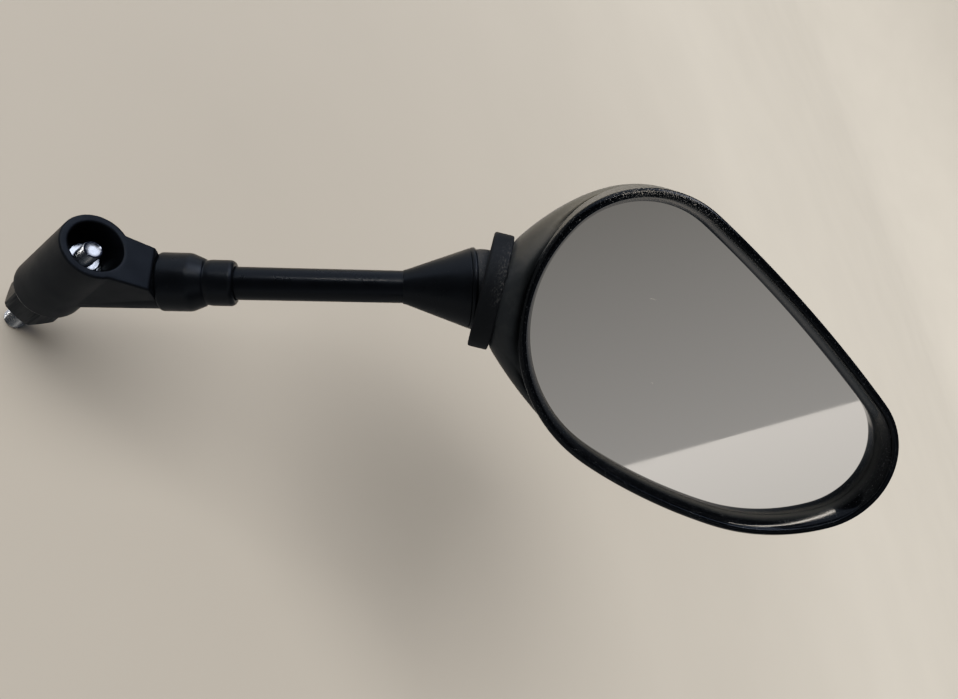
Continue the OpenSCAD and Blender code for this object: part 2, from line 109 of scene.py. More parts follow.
# %% [markdown]
# ## Four small tools for finishes
# Colours are written as the sRGB hex values that a paint chart or a photograph
# gives, and Blender mixes light in linear values, so one function converts. A
# second adds a node with its settings and its links. A third starts a material,
# and the last turns a size in millimetres into a noise's scale. Every finish
# below is a short list of such calls, so that each node and its numbers stay in
# sight.

# %% Colour and node helpers
def colour(hex_code):
    parts = [int(hex_code[k:k + 2], 16) / 255 for k in (1, 3, 5)]
    return (*[c / 12.92 if c <= 0.04045 else ((c + 0.055) / 1.055) ** 2.4 for c in parts], 1.0)


def add_node(finish, kind, settings=None, links=None):
    """Adds a node. settings are its own fields or its inputs' values; links join an input to an output."""
    tree = finish.node_tree
    made = tree.nodes.new("ShaderNode" + kind)
    for name, value in (settings or {}).items():
        if isinstance(name, str) and hasattr(made, name):
            setattr(made, name, value)
        else:
            made.inputs[name].default_value = value
    for name, output in (links or {}).items():
        tree.links.new(output, made.inputs[name])
    return made


def new_finish(name):
    """An empty material and the Object coordinates that its patterns read."""
    finish = bpy.data.materials.new(name)
    finish.use_nodes = True
    finish.node_tree.nodes.clear()
    return finish, add_node(finish, "TexCoord").outputs["Object"]


def per_mm(size):
    """The Scale of a noise whose blobs are about that many millimetres across."""
    return 1.0 / (size * MM)


FINISHES = {}
print("finish helpers ready")

# %% [markdown]
# ## Four small tools for shapes
# A CAD node arrives as loose triangles. A merged copy of it is a proper mesh
# again, so that it can be smoothed or bevelled. Turned pieces, such as boots
# and tubes, start as a profile that is rounded at its corners and spun round an
# axis. Each ends as an object at the origin with its place in its mesh, so that
# patterns in Object coordinates stay put.

# %% Shape helpers
def finish_piece(name, bm, slot, body, replaced=(), smooth_angle=40, modifiers=()):
    mesh = bpy.data.meshes.new(name)
    bm.to_mesh(mesh)
    bm.free()
    piece = bpy.data.objects.new(name, mesh)
    bpy.context.scene.collection.objects.link(piece)
    mesh.materials.append(FINISHES[slot])
    mesh.polygons.foreach_set("use_smooth", [True] * len(mesh.polygons))
    mesh.set_sharp_from_angle(angle=radians(smooth_angle))
    for kind, settings in modifiers:
        modifier = piece.modifiers.new(kind.title(), kind)
        for field, value in settings.items():
            setattr(modifier, field, value)
    if replaced:
        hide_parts(*replaced)
    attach(piece, body)
    print(name, "faces:", len(mesh.polygons), "modifiers:", [m.type for m in piece.modifiers])
    return piece


def merged_copy(node):
    """A bmesh of a CAD node with its loose triangles joined."""
    bm = bmesh.new()
    bm.from_mesh(nodes[node].data)
    bmesh.ops.remove_doubles(bm, verts=bm.verts, dist=2e-6)
    return bm


def spun(profile, place, steps=128):
    """A closed loop of [radius, height] points spun round Z, then laid in place."""
    bm = bmesh.new()
    verts = [bm.verts.new((r, 0, z)) for r, z in profile]
    edges = [bm.edges.new(pair) for pair in zip(verts, verts[1:] + verts[:1])]
    bmesh.ops.spin(bm, geom=verts + edges, cent=(0, 0, 0), axis=(0, 0, 1), angle=2 * pi,
                   steps=steps, use_merge=True, use_duplicate=False)
    bmesh.ops.remove_doubles(bm, verts=bm.verts, dist=1e-4)
    bmesh.ops.recalc_face_normals(bm, faces=bm.faces)
    bmesh.ops.transform(bm, matrix=place, verts=bm.verts)
    return bm


def rounded(points, steps=5):
    """A closed loop of [radius, height, reach] points, each corner cut by an arc of that reach."""
    out = []
    for k, (r, z, reach) in enumerate(points):
        here = Vector((r, z))
        before = Vector(points[k - 1][:2]) - here
        after = Vector(points[(k + 1) % len(points)][:2]) - here
        reach = min(reach, 0.45 * before.length, 0.45 * after.length)
        a, b = here + before.normalized() * reach, here + after.normalized() * reach
        count = steps if reach > 0 else 0
        for s in range(count + 1):
            t = s / max(1, count)
            out.append(tuple((1 - t) ** 2 * a + 2 * t * (1 - t) * here + t * t * b))
    return out

print("shape helpers ready")

# %% [markdown]
# ## Powder-coated cast aluminium
# The knuckle is a die casting under black powder coat. Powder melts into a skin
# with a faint orange peel about a millimetre across, so its shine is broken and
# soft. Handling rubs its edges a little paler. Pointiness finds those edges, and
# a cloud pattern keeps the rub from running evenly round them.

# %% Finish of the knuckle
coat, places = new_finish("powder_coated_cast_aluminium")
cloud = add_node(coat, "TexNoise", {"Scale": per_mm(14), "Detail": 4.0}, {"Vector": places})
peel = add_node(coat, "TexNoise", {"Scale": per_mm(0.9), "Detail": 2.0}, {"Vector": places})
edge = add_node(coat, "MapRange", {"From Min": 0.53, "From Max": 0.62}, {
    "Value": add_node(coat, "NewGeometry").outputs["Pointiness"]})
rub = add_node(coat, "Math", {"operation": "MULTIPLY"}, {0: edge.outputs[0], 1: cloud.outputs["Fac"]})
body_tone = add_node(coat, "MixRGB", {"Color1": colour("#0c0d10"), "Color2": colour("#141518")}, {
    "Fac": cloud.outputs["Fac"]})
rubbed_tone = add_node(coat, "MixRGB", {"Color2": colour("#3a3b3e")}, {
    "Fac": rub.outputs[0], "Color1": body_tone.outputs[0]})
shine = add_node(coat, "MapRange", {"From Min": 0.3, "From Max": 0.7, "To Min": 0.36, "To Max": 0.48}, {
    "Value": cloud.outputs["Fac"]})
skin = add_node(coat, "Bump", {"Distance": 0.02 * MM, "Strength": 0.6}, {"Height": peel.outputs["Fac"]})
shader = add_node(coat, "BsdfPrincipled", {"IOR": 1.5, "Specular IOR Level": 0.25}, {
    "Base Color": rubbed_tone.outputs[0], "Roughness": shine.outputs[0], "Normal": skin.outputs[0]})
add_node(coat, "OutputMaterial", links={"Surface": shader.outputs[0]})
FINISHES["cast_black"] = coat
print("finish:", coat.name)

# %% [markdown]
# ## Black-phosphated steel
# The hex adapter is turned from hexagon bar and blackened. The black is thin, so
# steel shows through at the corners and the flats keep the bar's fine drawn
# lines. A noise that is stretched along Z draws those lines.

# %% Finish of the hex adapter
blackened, places = new_finish("black_phosphated_steel")
along = add_node(blackened, "Mapping", {"Scale": (per_mm(0.6), per_mm(0.6), per_mm(9))}, {"Vector": places})
drawn = add_node(blackened, "TexNoise", {"Scale": 1.0, "Detail": 3.0}, {"Vector": along.outputs[0]})
stain = add_node(blackened, "TexNoise", {"Scale": per_mm(6), "Detail": 5.0}, {"Vector": places})
tone = add_node(blackened, "MixRGB", {"Color1": colour("#0b0c0e"), "Color2": colour("#17181b")}, {
    "Fac": stain.outputs["Fac"]})
shine = add_node(blackened, "MapRange", {"To Min": 0.28, "To Max": 0.5}, {"Value": drawn.outputs["Fac"]})
lines = add_node(blackened, "Bump", {"Distance": 0.015 * MM, "Strength": 0.5}, {
    "Height": drawn.outputs["Fac"]})
shader = add_node(blackened, "BsdfPrincipled", {"Metallic": 0.3, "Specular IOR Level": 0.25}, {
    "Base Color": tone.outputs[0], "Roughness": shine.outputs[0], "Normal": lines.outputs[0]})
add_node(blackened, "OutputMaterial", links={"Surface": shader.outputs[0]})
FINISHES["hex_black"] = blackened
print("finish:", blackened.name)

# %% [markdown]
# ## Bright zinc plate
# The stud, its nut and the washers are zinc-plated steel. New zinc is nearly as
# bright as chrome. Here it has dulled in patches, with a cold blue-grey tint, so
# two clouds of different size vary its colour and its gloss. The roots of a
# thread, where pointiness is low, are darkened by grime and by painted shade,
# which draws the thread as dark lines.

# %% Finish of the stud, nuts and washers
zinc, places = new_finish("bright_zinc_plate")
patch = add_node(zinc, "TexNoise", {"Scale": per_mm(3.5), "Detail": 5.0, "Roughness": 0.65}, {
    "Vector": places})
grit = add_node(zinc, "TexNoise", {"Scale": per_mm(0.5), "Detail": 2.0}, {"Vector": places})
tone = add_node(zinc, "MixRGB", {"Color1": colour("#7f8288"), "Color2": colour("#c6c9cd")}, {
    "Fac": patch.outputs["Fac"]})
# Grime and painted shade: the thread's roots, where pointiness is low, are painted darker.
root_grime_and_shade = add_node(zinc, "MapRange", {"From Min": 0.51, "From Max": 0.44}, {
    "Value": add_node(zinc, "NewGeometry").outputs["Pointiness"]})
grime_and_shade_tone = add_node(zinc, "MixRGB", {"Color2": colour("#26262a")}, {
    "Fac": root_grime_and_shade.outputs[0], "Color1": tone.outputs[0]})
shine = add_node(zinc, "MapRange", {"From Min": 0.3, "From Max": 0.7, "To Min": 0.14, "To Max": 0.34}, {
    "Value": patch.outputs["Fac"]})
pits = add_node(zinc, "Bump", {"Distance": 0.02 * MM, "Strength": 0.5}, {"Height": grit.outputs["Fac"]})
shader = add_node(zinc, "BsdfPrincipled", {"Metallic": 1.0}, {
    "Base Color": grime_and_shade_tone.outputs[0], "Roughness": shine.outputs[0], "Normal": pits.outputs[0]})
add_node(zinc, "OutputMaterial", links={"Surface": shader.outputs[0]})
FINISHES["zinc"] = zinc
print("finish:", zinc.name)

# %% [markdown]
# ## Sintered bronze
# The bush that the knuckle turns on is pressed from bronze powder and soaked in
# oil. Its grains leave fine pores, and the oil darkens them.

# %% Finish of the pivot bush
bronze, places = new_finish("sintered_bronze")
pores = add_node(bronze, "TexVoronoi", {"Scale": per_mm(0.4)}, {"Vector": places})
tone = add_node(bronze, "MixRGB", {"Color1": colour("#5f4526"), "Color2": colour("#a98752")}, {
    "Fac": pores.outputs["Distance"]})
dents = add_node(bronze, "Bump", {"Distance": 0.03 * MM}, {"Height": pores.outputs["Distance"]})
shader = add_node(bronze, "BsdfPrincipled", {"Metallic": 1.0, "Roughness": 0.42}, {
    "Base Color": tone.outputs[0], "Normal": dents.outputs[0]})
add_node(bronze, "OutputMaterial", links={"Surface": shader.outputs[0]})
FINISHES["bronze"] = bronze
print("finish:", bronze.name)

# %% [markdown]
# ## Gloss enamel on the stem
# The stem is a steel tube under smooth black enamel. The enamel is even and
# glossy, with the faintest waviness, which bends the long highlight a little. A
# few dull smears break the gloss.

# %% Finish of the stem
enamel, places = new_finish("gloss_black_enamel")
smear = add_node(enamel, "TexNoise", {"Scale": per_mm(11), "Detail": 4.0}, {"Vector": places})
wave = add_node(enamel, "TexNoise", {"Scale": per_mm(2.5), "Detail": 1.0}, {"Vector": places})
tone = add_node(enamel, "MixRGB", {"Color1": colour("#050609"), "Color2": colour("#0b0c10")}, {
    "Fac": smear.outputs["Fac"]})
shine = add_node(enamel, "MapRange", {"From Min": 0.35, "From Max": 0.7, "To Min": 0.26, "To Max": 0.36}, {
    "Value": smear.outputs["Fac"]})
flow = add_node(enamel, "Bump", {"Distance": 0.01 * MM, "Strength": 0.4}, {"Height": wave.outputs["Fac"]})
shader = add_node(enamel, "BsdfPrincipled", {"IOR": 1.52, "Specular IOR Level": 0.3}, {
    "Base Color": tone.outputs[0], "Roughness": shine.outputs[0], "Normal": flow.outputs[0]})
add_node(enamel, "OutputMaterial", links={"Surface": shader.outputs[0]})
FINISHES["stem_black"] = enamel
print("finish:", enamel.name)

# %% [markdown]
# ## Moulded rubber
# Both boots are moulded from soft black rubber. Rubber has no sharp reflection:
# its highlight is wide and a little blue from bloom, the wax that comes to its
# surface. Pale dust clings to it in small specks.

# %% Finish of the boots
rubber, places = new_finish("moulded_epdm_rubber")
bloom = add_node(rubber, "TexNoise", {"Scale": per_mm(9), "Detail": 5.0}, {"Vector": places})
speck = add_node(rubber, "TexNoise", {"Scale": per_mm(0.7), "Detail": 3.0, "Roughness": 0.7}, {
    "Vector": places})
specks = add_node(rubber, "MapRange", {"From Min": 0.66, "From Max": 0.74, "To Max": 0.5}, {
    "Value": speck.outputs["Fac"]})
tone = add_node(rubber, "MixRGB", {"Color1": colour("#0a0b0d"), "Color2": colour("#121316")}, {
    "Fac": bloom.outputs["Fac"]})
dusty_tone = add_node(rubber, "MixRGB", {"Color2": colour("#54524e")}, {
    "Fac": specks.outputs[0], "Color1": tone.outputs[0]})
shine = add_node(rubber, "MapRange", {"From Min": 0.3, "From Max": 0.7, "To Min": 0.26, "To Max": 0.4}, {
    "Value": bloom.outputs["Fac"]})
skin = add_node(rubber, "Bump", {"Distance": 0.03 * MM, "Strength": 0.5}, {"Height": speck.outputs["Fac"]})
shader = add_node(rubber, "BsdfPrincipled", {"IOR": 1.5, "Specular IOR Level": 0.32}, {
    "Base Color": dusty_tone.outputs[0], "Roughness": shine.outputs[0], "Normal": skin.outputs[0]})
add_node(rubber, "OutputMaterial", links={"Surface": shader.outputs[0]})
FINISHES["boot_rubber"] = rubber
print("finish:", rubber.name)

# %% [markdown]
# ## Scuffed nylon ball
# The ball turns in its socket every time that the mirror is set. That scuffs
# the glass-filled nylon to a grey-brown haze, with fine rubbed lines that run
# round the neck's line.

# %% Finish of the ball
ball_nylon, places = new_finish("glass_filled_nylon")
haze = add_node(ball_nylon, "TexNoise", {"Scale": per_mm(5), "Detail": 6.0, "Roughness": 0.7}, {
    "Vector": places})
rub = add_node(ball_nylon, "TexNoise", {"Scale": per_mm(0.8), "Detail": 4.0, "Distortion": 0.6}, {
    "Vector": places})
tone = add_node(ball_nylon, "MixRGB", {"Color1": colour("#17181a"), "Color2": colour("#3a3836")}, {
    "Fac": haze.outputs["Fac"]})
scuffs = add_node(ball_nylon, "MapRange", {"From Min": 0.56, "From Max": 0.7, "To Max": 0.6}, {
    "Value": rub.outputs["Fac"]})
scuffed_tone = add_node(ball_nylon, "MixRGB", {"Color2": colour("#5b5752")}, {
    "Fac": scuffs.outputs[0], "Color1": tone.outputs[0]})
skin = add_node(ball_nylon, "Bump", {"Distance": 0.04 * MM, "Strength": 0.5}, {"Height": rub.outputs["Fac"]})
shader = add_node(ball_nylon, "BsdfPrincipled", {"IOR": 1.53, "Roughness": 0.55}, {
    "Base Color": scuffed_tone.outputs[0], "Normal": skin.outputs[0]})
add_node(ball_nylon, "OutputMaterial", links={"Surface": shader.outputs[0]})
FINISHES["ball_plastic"] = ball_nylon
print("finish:", ball_nylon.name)

# %% [markdown]
# ## Natural nylon
# The liner and the inner cup are unfilled nylon, which is milky and lets a
# little light in. A touch of subsurface scattering gives that depth.

# %% Finish of the liner and the inner cup
milky, places = new_finish("natural_nylon")
cloud = add_node(milky, "TexNoise", {"Scale": per_mm(4), "Detail": 3.0}, {"Vector": places})
tone = add_node(milky, "MixRGB", {"Color1": colour("#d8d2c2"), "Color2": colour("#e6e2d6")}, {
    "Fac": cloud.outputs["Fac"]})
shader = add_node(milky, "BsdfPrincipled", {
    "IOR": 1.53, "Roughness": 0.4, "Subsurface Weight": 0.25, "Subsurface Scale": 1.0 * MM}, {
    "Base Color": tone.outputs[0]})
add_node(milky, "OutputMaterial", links={"Surface": shader.outputs[0]})
FINISHES["nylon"] = milky
print("finish:", milky.name)

# %% [markdown]
# ## Worn ring
# The neck ring is a thick moulded ring with a dull skin. Where a hand grips the
# head, dust and scuffs have greyed it, on the side that faces the glass's way.
# Masks along the ring's own axes keep most scuffs there: X points the glass's
# way, Y points down in the photograph and Z points to the shell. The scuffs run
# round the ring, so their noise is squeezed along Z.

# %% Finish of the neck ring
ring_skin, places = new_finish("dull_moulded_ring")
in_ring = add_node(ring_skin, "Mapping", {
    "vector_type": "TEXTURE", "Location": ON_NECK.translation, "Rotation": NECK_ANGLES}, {"Vector": places})
spread = add_node(ring_skin, "TexNoise", {"Scale": per_mm(6), "Detail": 6.0, "Roughness": 0.72}, {
    "Vector": places})
squeezed = add_node(ring_skin, "Mapping", {"Scale": (per_mm(1.6), per_mm(1.6), per_mm(0.6))}, {
    "Vector": in_ring.outputs[0]})
scuff = add_node(ring_skin, "TexNoise", {"Scale": 1.0, "Detail": 7.0, "Roughness": 0.78}, {
    "Vector": squeezed.outputs[0]})
ring_axes = add_node(ring_skin, "SeparateXYZ", {}, {"Vector": in_ring.outputs[0]})
facing = add_node(ring_skin, "MapRange", {
    "From Min": 8 * MM, "From Max": 26 * MM, "To Min": 0.0, "To Max": 1.0}, {
    "Value": ring_axes.outputs["X"]})
upper = add_node(ring_skin, "MapRange", {
    "From Min": 5 * MM, "From Max": -5 * MM, "To Min": 0.08, "To Max": 1.0}, {
    "Value": ring_axes.outputs["Y"]})
shellward = add_node(ring_skin, "MapRange", {
    "From Min": 4 * MM, "From Max": 9 * MM, "To Min": 0.12, "To Max": 1.0}, {
    "Value": ring_axes.outputs["Z"]})
grains = add_node(ring_skin, "MapRange", {"From Min": 0.5, "From Max": 0.66}, {
    "Value": scuff.outputs["Fac"]})
there = add_node(ring_skin, "Math", {"operation": "MULTIPLY"}, {
    0: facing.outputs[0], 1: shellward.outputs[0]})
corner = add_node(ring_skin, "Math", {"operation": "MULTIPLY"}, {0: there.outputs[0], 1: upper.outputs[0]})
amount = add_node(ring_skin, "Math", {"operation": "MULTIPLY"}, {0: corner.outputs[0], 1: grains.outputs[0]})
tone = add_node(ring_skin, "MixRGB", {"Color1": colour("#121212"), "Color2": colour("#1d1c1c")}, {
    "Fac": spread.outputs["Fac"]})
worn_tone = add_node(ring_skin, "MixRGB", {"Color2": colour("#5f5c58")}, {
    "Fac": amount.outputs[0], "Color1": tone.outputs[0]})
skin = add_node(ring_skin, "Bump", {"Distance": 0.04 * MM, "Strength": 0.5}, {
    "Height": scuff.outputs["Fac"]})
shader = add_node(ring_skin, "BsdfPrincipled", {"IOR": 1.5, "Roughness": 0.62, "Specular IOR Level": 0.3}, {
    "Base Color": worn_tone.outputs[0], "Normal": skin.outputs[0]})
add_node(ring_skin, "OutputMaterial", links={"Surface": shader.outputs[0]})
FINISHES["ring_rubber"] = ring_skin
print("finish:", ring_skin.name)

# %% [markdown]
# ## Moulded inner plastic
# Pieces that nobody sees, such as the tray and the socket's inner half, are
# plain black ABS straight from the mould: matt, with a fine spark-eroded grain.

# %% Finish of the inner mouldings
inner, places = new_finish("matt_moulded_abs")
grain = add_node(inner, "TexNoise", {"Scale": per_mm(0.4), "Detail": 2.0}, {"Vector": places})
tone = add_node(inner, "MixRGB", {"Color1": colour("#1a1a1b"), "Color2": colour("#262627")}, {
    "Fac": grain.outputs["Fac"]})
skin = add_node(inner, "Bump", {"Distance": 0.03 * MM, "Strength": 0.6}, {"Height": grain.outputs["Fac"]})
shader = add_node(inner, "BsdfPrincipled", {"IOR": 1.54, "Roughness": 0.58}, {
    "Base Color": tone.outputs[0], "Normal": skin.outputs[0]})
add_node(inner, "OutputMaterial", links={"Surface": shader.outputs[0]})
FINISHES["inner_plastic"] = inner
print("finish:", inner.name)

# %% [markdown]
# ## Textured shell
# The back of the head is black ABS from a mould with a fine leather-like grain,
# about half a millimetre across. The grain scatters light, so the shell looks
# charcoal where light strikes it at a low angle. Dust has settled in soft
# patches. Towards the head's top, which Y points to in the head's own axes, the
# colour is also painted paler. That is painted light falling from above.

# %% Finish of the shell
shell_abs, places = new_finish("textured_black_abs")
in_head = add_node(shell_abs, "Mapping", {
    "vector_type": "TEXTURE", "Location": IN_HEAD.translation, "Rotation": HEAD_ANGLES}, {"Vector": places})
head_axes = add_node(shell_abs, "SeparateXYZ", {}, {"Vector": in_head.outputs[0]})
# Painted light: the shell is painted paler towards the head's top, as if lit from above.
painted_top_light = add_node(shell_abs, "MapRange", {"From Min": 18 * MM, "From Max": 55 * MM, "To Max": 0.75}, {
    "Value": head_axes.outputs["Y"]})
grain = add_node(shell_abs, "TexVoronoi", {"Scale": per_mm(0.55), "Randomness": 1.0}, {"Vector": places})
patch = add_node(shell_abs, "TexNoise", {"Scale": per_mm(22), "Detail": 6.0, "Roughness": 0.62}, {
    "Vector": places})
patchy = add_node(shell_abs, "MapRange", {"From Min": 0.45, "From Max": 0.75, "To Max": 0.18}, {
    "Value": patch.outputs["Fac"]})
# The pale share is the dust patches plus the painted light on the top.
pale_share = add_node(shell_abs, "Math", {"operation": "ADD"}, {0: patchy.outputs[0], 1: painted_top_light.outputs[0]})
tone = add_node(shell_abs, "MixRGB", {"Color1": colour("#292928"), "Color2": colour("#77756e")}, {
    "Fac": pale_share.outputs[0]})
shine = add_node(shell_abs, "MapRange", {"From Min": 0.3, "From Max": 0.7, "To Min": 0.52, "To Max": 0.64}, {
    "Value": patch.outputs["Fac"]})
skin = add_node(shell_abs, "Bump", {"Distance": 0.04 * MM, "Strength": 0.7}, {
    "Height": grain.outputs["Distance"]})
shader = add_node(shell_abs, "BsdfPrincipled", {
    "IOR": 1.54, "Specular IOR Level": 0.4, "Sheen Weight": 0.22, "Sheen Roughness": 0.4}, {
    "Base Color": tone.outputs[0], "Roughness": shine.outputs[0], "Normal": skin.outputs[0]})
add_node(shell_abs, "OutputMaterial", links={"Surface": shader.outputs[0]})
FINISHES["shell_plastic"] = shell_abs
print("finish:", shell_abs.name)

# %% [markdown]
# ## Glossy bead
# The bead that holds the glass is smooth black plastic with a polished skin, so
# it mirrors the room in thin bright lines. Fine dust lies on it as pale specks,
# which also dull the gloss under them. Most of it lies on the bead's top, within
# a few centimetres of one place. The wall that drops to the glass isn't
# polished, and on the low side dust has settled along it.

# %% Finish of the rim bead
gloss, places = new_finish("polished_black_abs")
in_head = add_node(gloss, "Mapping", {
    "vector_type": "TEXTURE", "Location": IN_HEAD.translation, "Rotation": HEAD_ANGLES}, {"Vector": places})
head_axes = add_node(gloss, "SeparateXYZ", {}, {"Vector": in_head.outputs[0]})
deep = add_node(gloss, "MapRange", {"From Min": 21 * MM, "From Max": 17 * MM}, {
    "Value": head_axes.outputs["Z"]})
low_side = add_node(gloss, "MapRange", {"From Min": 0.0, "From Max": -25 * MM, "To Max": 0.9}, {
    "Value": head_axes.outputs["Y"]})
settled = add_node(gloss, "Math", {"operation": "MULTIPLY"}, {0: deep.outputs[0], 1: low_side.outputs[0]})
fine = add_node(gloss, "TexNoise", {"Scale": per_mm(0.6), "Detail": 3.0, "Roughness": 0.75}, {
    "Vector": places})
wide = add_node(gloss, "TexNoise", {"Scale": per_mm(18), "Detail": 3.0}, {"Vector": places})
from_top = add_node(gloss, "VectorMath", {
    "operation": "DISTANCE", 1: IN_HEAD @ Vector((68.0, 63.0, 25.0))}, {0: places})
near_top = add_node(gloss, "MapRange", {
    "From Min": 36 * MM, "From Max": 12 * MM, "To Max": 0.1}, {"Value": from_top.outputs["Value"]})
cloud = add_node(gloss, "MapRange", {"From Min": 0.42, "From Max": 0.7, "To Max": 0.04}, {
    "Value": wide.outputs["Fac"]})
more = add_node(gloss, "Math", {"operation": "ADD"}, {0: near_top.outputs[0], 1: cloud.outputs[0]})
raised = add_node(gloss, "Math", {"operation": "ADD"}, {0: fine.outputs["Fac"], 1: more.outputs[0]})
pale_share = add_node(gloss, "MapRange", {"From Min": 0.63, "From Max": 0.75}, {"Value": raised.outputs[0]})
tone = add_node(gloss, "MixRGB", {"Color1": colour("#020306"), "Color2": colour("#8d8b88")}, {
    "Fac": pale_share.outputs[0]})
dusty_tone = add_node(gloss, "MixRGB", {"Color2": colour("#4f4e4b")}, {
    "Fac": settled.outputs[0], "Color1": tone.outputs[0]})
shine = add_node(gloss, "MapRange", {"To Min": 0.1, "To Max": 0.4}, {"Value": pale_share.outputs[0]})
glint = add_node(gloss, "MapRange", {"To Min": 0.24, "To Max": 0.03}, {"Value": deep.outputs[0]})
shader = add_node(gloss, "BsdfPrincipled", {"IOR": 1.54}, {
    "Base Color": dusty_tone.outputs[0], "Roughness": shine.outputs[0],
    "Specular IOR Level": glint.outputs[0]})
add_node(gloss, "OutputMaterial", links={"Surface": shader.outputs[0]})
FINISHES["bead_plastic"] = gloss
print("finish:", gloss.name)

# %% [markdown]
# ## Silvered glass
# A mirror is clear glass with silver behind it. To the eye it is a metal with
# almost no roughness and a faint warm tint. Fingermarks and fine dust add a thin
# haze, which is a slow change of roughness. A few tiny pits, one short scratch
# and one speck are matt, so they scatter light and look paler than the grey that
# the glass shows. The scratch is the set of points that are near a place once
# its long direction is squeezed.

# %% Finish of the glass
silvered, places = new_finish("silvered_float_glass")
film = add_node(silvered, "TexNoise", {"Scale": per_mm(30), "Detail": 6.0, "Roughness": 0.6}, {
    "Vector": places})
pit = add_node(silvered, "TexVoronoi", {"Scale": per_mm(26)}, {"Vector": places})
pits = add_node(silvered, "MapRange", {"From Min": 0.020, "From Max": 0.012}, {
    "Value": pit.outputs["Distance"]})
from_scratch = add_node(silvered, "Mapping", {
    "vector_type": "TEXTURE", "Location": IN_HEAD @ Vector((77.6, 16.8, 15.0)), "Rotation": HEAD_ANGLES,
    "Scale": (2.2, 0.22, 4.0)}, {"Vector": places})
from_speck = add_node(silvered, "VectorMath", {
    "operation": "DISTANCE", 1: IN_HEAD @ Vector((88.9, -21.6, 15.0))}, {0: places})
scratch_reach = add_node(silvered, "VectorMath", {"operation": "LENGTH"}, {0: from_scratch.outputs[0]})
scratch = add_node(silvered, "MapRange", {"From Min": 0.8 * MM, "From Max": 0.5 * MM, "To Max": 0.5}, {
    "Value": scratch_reach.outputs["Value"]})
speck = add_node(silvered, "MapRange", {"From Min": 0.35 * MM, "From Max": 0.2 * MM, "To Max": 0.7}, {
    "Value": from_speck.outputs["Value"]})
two_marks = add_node(silvered, "Math", {"operation": "MAXIMUM"}, {
    0: scratch.outputs[0], 1: speck.outputs[0]})
marks = add_node(silvered, "Math", {"operation": "MAXIMUM"}, {0: two_marks.outputs[0], 1: pits.outputs[0]})
tone = add_node(silvered, "MixRGB", {"Color1": colour("#f5f3f1"), "Color2": colour("#a3a19c")}, {
    "Fac": marks.outputs[0]})
shine = add_node(silvered, "MapRange", {"From Min": 0.3, "From Max": 0.8, "To Min": 0.012, "To Max": 0.05}, {
    "Value": film.outputs["Fac"]})
silvering = add_node(silvered, "Math", {"operation": "SUBTRACT", 0: 1.0}, {1: marks.outputs[0]})
shader = add_node(silvered, "BsdfPrincipled", links={
    "Base Color": tone.outputs[0], "Roughness": shine.outputs[0], "Metallic": silvering.outputs[0]})
add_node(silvered, "OutputMaterial", links={"Surface": shader.outputs[0]})
FINISHES["mirror_glass"] = silvered
print("finish:", silvered.name)

# %% [markdown]
# ## Closed-cell foam
# The pad behind the glass is dark polyethylene foam, cut from sheet. Its cut
# cells show as small dimples about a third of a millimetre across.

# %% Finish of the foam pad
foam, places = new_finish("closed_cell_foam")
cells = add_node(foam, "TexVoronoi", {"Scale": per_mm(0.35)}, {"Vector": places})
tone = add_node(foam, "MixRGB", {"Color1": colour("#2a2a2b"), "Color2": colour("#3d3d3e")}, {
    "Fac": cells.outputs["Distance"]})
dimples = add_node(foam, "Bump", {"Distance": 0.1 * MM}, {"Height": cells.outputs["Distance"]})
shader = add_node(foam, "BsdfPrincipled", {"IOR": 1.5, "Roughness": 0.85}, {
    "Base Color": tone.outputs[0], "Normal": dimples.outputs[0]})
add_node(foam, "OutputMaterial", links={"Surface": shader.outputs[0]})
FINISHES["foam"] = foam
print("finish:", foam.name)

# %% [markdown]
# ## Dressing the CAD nodes
# Nodes whose shape is already right only need their finish. The record names a
# material slot for every node, so one loop gives each its own.

# %% Give every CAD node the finish of its slot
for entry in frame["record"]["subparts"]:
    mesh = nodes[entry["node"]].data
    mesh.materials.clear()
    mesh.materials.append(FINISHES[entry["material_slot"]])

# %% [markdown]
# ## The cast knuckle
# A casting has no sharp corners: the web runs into the barrel and the arm with
# small fillets, and every edge is rounded. Bevelling edges where a cone, a
# cylinder and a wedge meet is hard to do by hand. A voxel remesh rebuilds the
# whole skin from cells of under half a millimetre instead, and a few rounds of
# smoothing then melt the corners the way powder coat does.

# %% Round the knuckle
CELL = 0.42 * MM
finish_piece(
    "knuckle_casting", merged_copy("knuckle"), "cast_black", "arm", ["knuckle"], 180, [
        ("REMESH", {"mode": "VOXEL", "voxel_size": CELL, "use_smooth_shade": True}),
        ("SMOOTH", {"factor": 0.5, "iterations": 3}),
    ])

# %% [markdown]
# ## The hex adapter and the nuts
# Bar and nuts keep flat sides and a turned chamfer, which the CAD nodes have.
# Only their edges are too sharp to catch light, so a merged copy gets a narrow
# bevel.

# %% Bevel the hexagons
hexagons = [
    ("adapter_hexagon", "hex_adapter", "hex_black", "mount", 0.35),
    ("pivot_nut_bevelled", "pivot_nut", "zinc", "mount", 0.2),
    ("stem_lock_nut_bevelled", "stem_lock_nut", "zinc", "arm", 0.25),
]
for name, node, slot, body, width in hexagons:
    bm = merged_copy(node)
    bmesh.ops.dissolve_limit(bm, angle_limit=radians(1), verts=bm.verts, edges=bm.edges)
    finish_piece(name, bm, slot, body, [node], 35, [
        ("BEVEL", {"width": width * MM, "segments": 2, "limit_method": "ANGLE",
                   "angle_limit": radians(25), "profile": 0.5, "material": -1}),
    ])

# %% [markdown]
# ## The threaded stud
# Both ends of the stud carry a real thread: a fine one of 1 mm pitch in the
# barrel and one of 1.25 mm below. A line of teeth along the axis is spun once
# round while it climbs by one pitch, so that its end meets the next tooth and
# one continuous ridge results. Two planes cut the ends square, the cuts are
# closed, and points near an end are drawn inwards for the chamfer that helps a
# nut to start. The cropped end in the barrel has a shallow, rough dimple.

